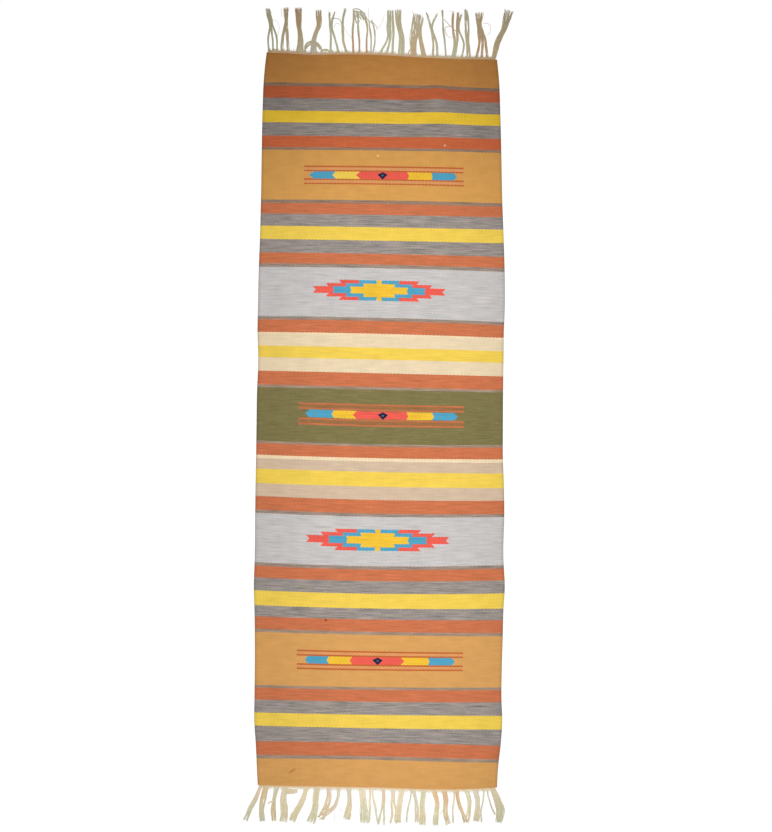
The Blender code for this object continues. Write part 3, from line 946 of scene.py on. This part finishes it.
class Tint(Output):
    """A colour for each point of a surface, mixed and multiplied by nodes."""

    def blend(self, kind, share, other):
        """This colour blended with another, a Tint or three numbers, by a share, a Level or a number."""
        node = self.tree.nodes.new("ShaderNodeMix")
        node.data_type = "RGBA"
        node.blend_type = kind
        second = other if isinstance(other, Tint) else (*other, 1.0)
        for place, value in zip(MIX_INPUTS, (share, self, second)):
            fill(self.tree, node.inputs[place], value)
        return Tint(self.tree, node.outputs[MIX_OUTPUT])

    def mix(self, share, other):
        """This colour where the share is 0, the other one where it is 1, and a mix between."""
        return self.blend("MIX", share, other)

    def times(self, level):
        """This colour made brighter or darker by a Level or a number."""
        node = self.tree.nodes.new("ShaderNodeVectorMath")
        node.operation = "SCALE"
        self.tree.links.new(self.socket, node.inputs[0])
        fill(self.tree, node.inputs["Scale"], level)
        return Tint(self.tree, node.outputs[0])


def new_finish(name, roughness, sheen=0.0):
    """A material with a dull surface, which sheen makes slightly fuzzy."""
    material = bpy.data.materials.new(name)
    material.use_nodes = True
    shader = material.node_tree.nodes["Principled BSDF"]
    shader.inputs["Roughness"].default_value = roughness
    shader.inputs["Specular IOR Level"].default_value = COTTON_SPECULAR
    shader.inputs["Sheen Weight"].default_value = sheen
    shader.inputs["Sheen Roughness"].default_value = SHEEN_ROUGHNESS
    return material, material.node_tree, shader


def face_attribute(tree, name):
    """A node that reads the mesh's numbers or colours of this name."""
    node = tree.nodes.new("ShaderNodeAttribute")
    node.attribute_type = "GEOMETRY"
    node.attribute_name = name
    return node


def map_levels(tree, name):
    """The two numbers of a UV map."""
    node = tree.nodes.new("ShaderNodeUVMap")
    node.uv_map = name
    parts = tree.nodes.new("ShaderNodeSeparateXYZ")
    tree.links.new(node.outputs["UV"], parts.inputs[0])
    return Level(tree, parts.outputs["X"]), Level(tree, parts.outputs["Y"])


def joined(tree, *levels):
    """A vector of up to three levels."""
    node = tree.nodes.new("ShaderNodeCombineXYZ")
    for given, level in zip(node.inputs, levels):
        fill(tree, given, level)
    return node.outputs[0]


def soft_noise(tree, detail, *levels):
    """Smooth noise over a vector of levels: its strength and its colour."""
    node = tree.nodes.new("ShaderNodeTexNoise")
    node.inputs["Scale"].default_value = 1.0
    node.inputs["Detail"].default_value = detail
    tree.links.new(joined(tree, *levels), node.inputs["Vector"])
    return Level(tree, node.outputs["Fac"]), Tint(tree, node.outputs["Color"])


def relief(tree, shader, height, strength, depth):
    """Raises the shaded surface by a level times a depth."""
    bump = tree.nodes.new("ShaderNodeBump")
    bump.inputs["Strength"].default_value = strength
    bump.inputs["Distance"].default_value = depth
    tree.links.new(height.socket, bump.inputs["Height"])
    tree.links.new(bump.outputs["Normal"], shader.inputs["Normal"])


def chance(tree, *levels):
    """A number from 0 to 1 by chance for every whole value of the levels."""
    node = tree.nodes.new("ShaderNodeTexWhiteNoise")
    node.noise_dimensions = "3D"
    tree.links.new(joined(tree, *levels), node.inputs["Vector"])
    return Level(tree, node.outputs["Value"])


def add_mark(tint, mark, u, v):
    """An ellipse that is strongest at its middle and fades out evenly towards its rim."""
    aside = u - mark.u * MM
    rise = v - mark.v * MM - aside * mark.lean
    across, along = aside / (mark.reach_u * MM), rise / (mark.reach_v * MM)
    out = across * across + along * along
    share = ((out * -1.0 + 1.0) * (2 * mark.strength)).math("MAXIMUM", 0.0).math("MINIMUM", 1.0)
    return tint.mix(share, linear(mark.colour))


def between(level, low, high):
    """1 where a level is above the low limit and below the high one, and 0 elsewhere."""
    return (level > low) * (level < high)


def add_arrow_bar(tint, bar, u, v):
    """A pair of fine lines above the bar and one below it, each pair with the bar's ground between its
    lines, and the pieces laid over each other from left to right. Each piece starts at its own place
    across, pushed out in proportion to how near the pick is to mid height. In the middle is a dark diamond
    whose upper half is the shorter one, with a small diamond as its heart."""
    off = abs(v - bar.v * MM)
    inside = off < bar.half_height * MM
    nearness = (off / (bar.half_height * MM)) * -1.0 + 1.0
    line = between(u, bar.line_from * MM, bar.line_to * MM)
    half = LINE_HALF_WIDTH * MM
    framed = between(off, bar.inner_line * MM, bar.outer_line * MM) * line
    tint = tint.mix(framed, dye_light(bar.ground))
    for offset in (bar.inner_line, bar.outer_line):
        drawn = (abs(off - offset * MM) < half) * line
        tint = tint.mix(drawn, dye_light(bar.line))
    cloth = tint
    for dye, start, point in bar.pieces:
        reached = (u > nearness * (point * MM) + start * MM) * inside
        tint = tint.mix(reached, dye_light(dye) if dye else cloth)
    rise = v - (bar.v + DIAMOND_SHOULDER) * MM
    tall = (rise / (DIAMOND_ABOVE * MM)).math("MAXIMUM", rise / (-DIAMOND_BELOW * MM))
    aside = abs(u - bar.u * MM)
    shield = aside / (DIAMOND_HALF_WIDTH * MM) + tall < 1.0
    tint = tint.mix(shield, dye_light("navy"))
    return tint.mix(aside + off < DIAMOND_HEART * MM, dye_light("steel"))


def add_lozenge(tint, lozenge, u, v):
    """Rows of three colours about the middle, outermost first. Each row further out is drawn in by a step,
    and within a row each colour widens outwards by its slant."""
    row = lozenge.row * MM
    off = abs(v - lozenge.v * MM)
    drawn_in = (off / row).floor() * (lozenge.step * MM)
    within = (off / row).fraction() * row
    inside = off < row * LOZENGE_ROWS
    for dye, slant in LOZENGE_SLANTS.items():
        out = abs(u - lozenge.u * MM) + drawn_in - within * slant
        tint = tint.mix((out < getattr(lozenge, dye) * MM) * inside, dye_light(dye))
    return tint


def woven_cotton():
    """Weft-faced plain weave. The surface is split into floats: each warp shows every second pick, so the
    picks of neighbouring warps lie half a pitch apart, and a float has one colour all over. Streaks follow
    the picks, pale ticks are warps that show through, and the relief is each float's rounded back. Painted
    shade makes each float darker towards its edges, in the grooves between floats, and lays bands along
    both side edges."""
    material, tree, shader = new_finish("woven_cotton", COTTON_ROUGHNESS, WEAVE_SHEEN)
    u, v = map_levels(tree, "weave")
    warp = (u / WARP_PITCH).floor()
    shift = warp.math("FLOORED_MODULO", 2.0) * 0.5
    pick_place = v / PICK_PITCH + shift
    pick = pick_place.floor()
    level = (pick - shift + 0.5) * PICK_PITCH

    above, below = face_attribute(tree, "dye_above"), face_attribute(tree, "dye_below")
    upper = level > Level(tree, face_attribute(tree, "join_level").outputs["Fac"])
    tint = Tint(tree, below.outputs["Color"]).mix(upper, Tint(tree, above.outputs["Color"]))
    lower_streaks = Level(tree, below.outputs["Alpha"])
    streaks = lower_streaks + (Level(tree, above.outputs["Alpha"]) - lower_streaks) * upper
    for bar in ARROW_BARS:
        tint = add_arrow_bar(tint, bar, u, level)
    for lozenge in LOZENGES:
        tint = add_lozenge(tint, lozenge, u, level)
    for mark in MARKS:
        tint = add_mark(tint, mark, u, level)

    yarn, yarn_colour = soft_noise(tree, STREAK_DETAIL, u * STREAKS_ACROSS, pick * STREAKS_PER_PICK)
    patch, _ = soft_noise(tree, PATCH_DETAIL, u * PATCHES_ACROSS, level * PATCHES_ALONG)
    tone = (yarn - 0.5) * streaks * STREAK_DEPTH + (patch - 0.5) * PATCH_DEPTH + 1.0
    hue = yarn_colour.mix(HUE_CALM, (HUE_MIDDLE,) * 3)
    hued = tint.blend("MULTIPLY", 1.0, hue).times(1 / HUE_MIDDLE)
    tint = tint.mix(streaks * HUE_SHARE, hued)
    tint = tint.times(tone)
    tick = chance(tree, warp, pick) > TICK_RARITY
    tint = tint.mix(tick * streaks * TICK_SHARE, linear(TICK_COLOUR))

    across = (u / WARP_PITCH).fraction()
    along = pick_place.fraction()
    back = (across * 0.5).wave() * (along * 0.5).wave()
    # Painted shade: each float lighter at its middle and darker towards its edges, in the grooves between
    # floats.
    tint = tint.times(back * GROOVE_PAINTED_SHADE + (1 - GROOVE_PAINTED_SHADE / 2))
    # Painted shade in bands along both side edges of the cloth.
    for shade in SELVEDGE_PAINTED_SHADES:
        edge = abs(u) > CLOTH_WIDTH / 2 - shade.reach * MM
        tint = tint.times(edge * (shade.light - 1) + 1.0)
    tree.links.new(tint.socket, shader.inputs["Base Color"])

    relief(tree, shader, back, RELIEF_STRENGTH, FLOAT_RELIEF)
    return material


def undyed_cotton():
    """Two-ply yarn: its tint, painted shade in a groove that winds round it twice over, and slubs along it.
    """
    material, tree, shader = new_finish("undyed_cotton", COTTON_ROUGHNESS, YARN_SHEEN)
    around, along = map_levels(tree, "yarn")
    tint = Tint(tree, face_attribute(tree, "yarn_tint").outputs["Color"])
    ply = abs((around + along / PLY_TURN).wave())
    slub, _ = soft_noise(tree, SLUB_DETAIL, along * SLUBS_ALONG, around * SLUBS_AROUND)
    # Painted shade in the groove between the plies, then slubs darker or lighter at random.
    tint = tint.times(ply * PLY_SHADE + PLY_DARKEST).times(slub * SLUB_SHADE + SLUB_DARKEST)
    tree.links.new(tint.socket, shader.inputs["Base Color"])
    relief(tree, shader, ply, RELIEF_STRENGTH, PLY_RELIEF)
    return material


def pale_floor():
    """A wide pale sheet just under the cloth, lit mostly from within so that shadows on it stay faint."""
    size = FLOOR_SIZE / 2
    corners = np.array([(-size, -size), (size, -size), (size, size), (-size, size)])
    points = np.column_stack([corners, np.full(len(corners), -FLOOR_GAP)])
    floor = new_mesh("pale_floor", points, np.arange(len(corners))[None, :])
    material, _, shader = new_finish("pale_paper", FLOOR_ROUGHNESS)
    shader.inputs["Base Color"].default_value = (FLOOR_SHADE, FLOOR_SHADE, FLOOR_SHADE, 1.0)
    shader.inputs["Emission Color"].default_value = (1.0, 1.0, 1.0, 1.0)
    shader.inputs["Emission Strength"].default_value = FLOOR_GLOW
    floor.data.materials.append(material)


def camera_above():
    """The camera that looks straight down on the whole rug."""
    data = bpy.data.cameras.new("camera_above")
    data.lens = CAMERA_LENS
    camera = new_object("camera_above", data)
    camera.location = CAMERA_PLACE
    bpy.context.scene.camera = camera


def studio_light():
    """The lamps and an even white sky."""
    for lamp in LAMPS:
        data = bpy.data.lights.new(lamp.name, "SPOT")
        data.energy = lamp.power
        data.spot_size = np.radians(lamp.cone)
        data.spot_blend = lamp.blend
        data.shadow_soft_size = lamp.radius
        made = new_object(lamp.name, data)
        made.location = lamp.place
        made.scale.y = lamp.stretch
    world = bpy.data.worlds.new("even_sky")
    world.use_nodes = True
    sky = world.node_tree.nodes["Background"]
    sky.inputs["Color"].default_value = (1.0, 1.0, 1.0, 1.0)
    sky.inputs["Strength"].default_value = SKY_STRENGTH
    bpy.context.scene.world = world
    bpy.context.scene.view_settings.view_transform = "Standard"


def main():
    """Sets up the studio, makes the cloth and its trimmings, and says what each of them stands for."""
    camera_above()
    studio_light()
    pale_floor()
    cloth = woven_cloth()
    cloth.data.materials.append(woven_cotton())
    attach(cloth, "root")
    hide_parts("rug_cloth")
    yarn = undyed_cotton()
    trimmings = [
        (make(fringe), f"fringe_{fringe.name}")
        for fringe in FRINGES
        for make in (loose_fringe, twined_heading)
    ]
    for piece, node in trimmings:
        piece.data.materials.append(yarn)
        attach(piece, "root")
        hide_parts(node)


main()
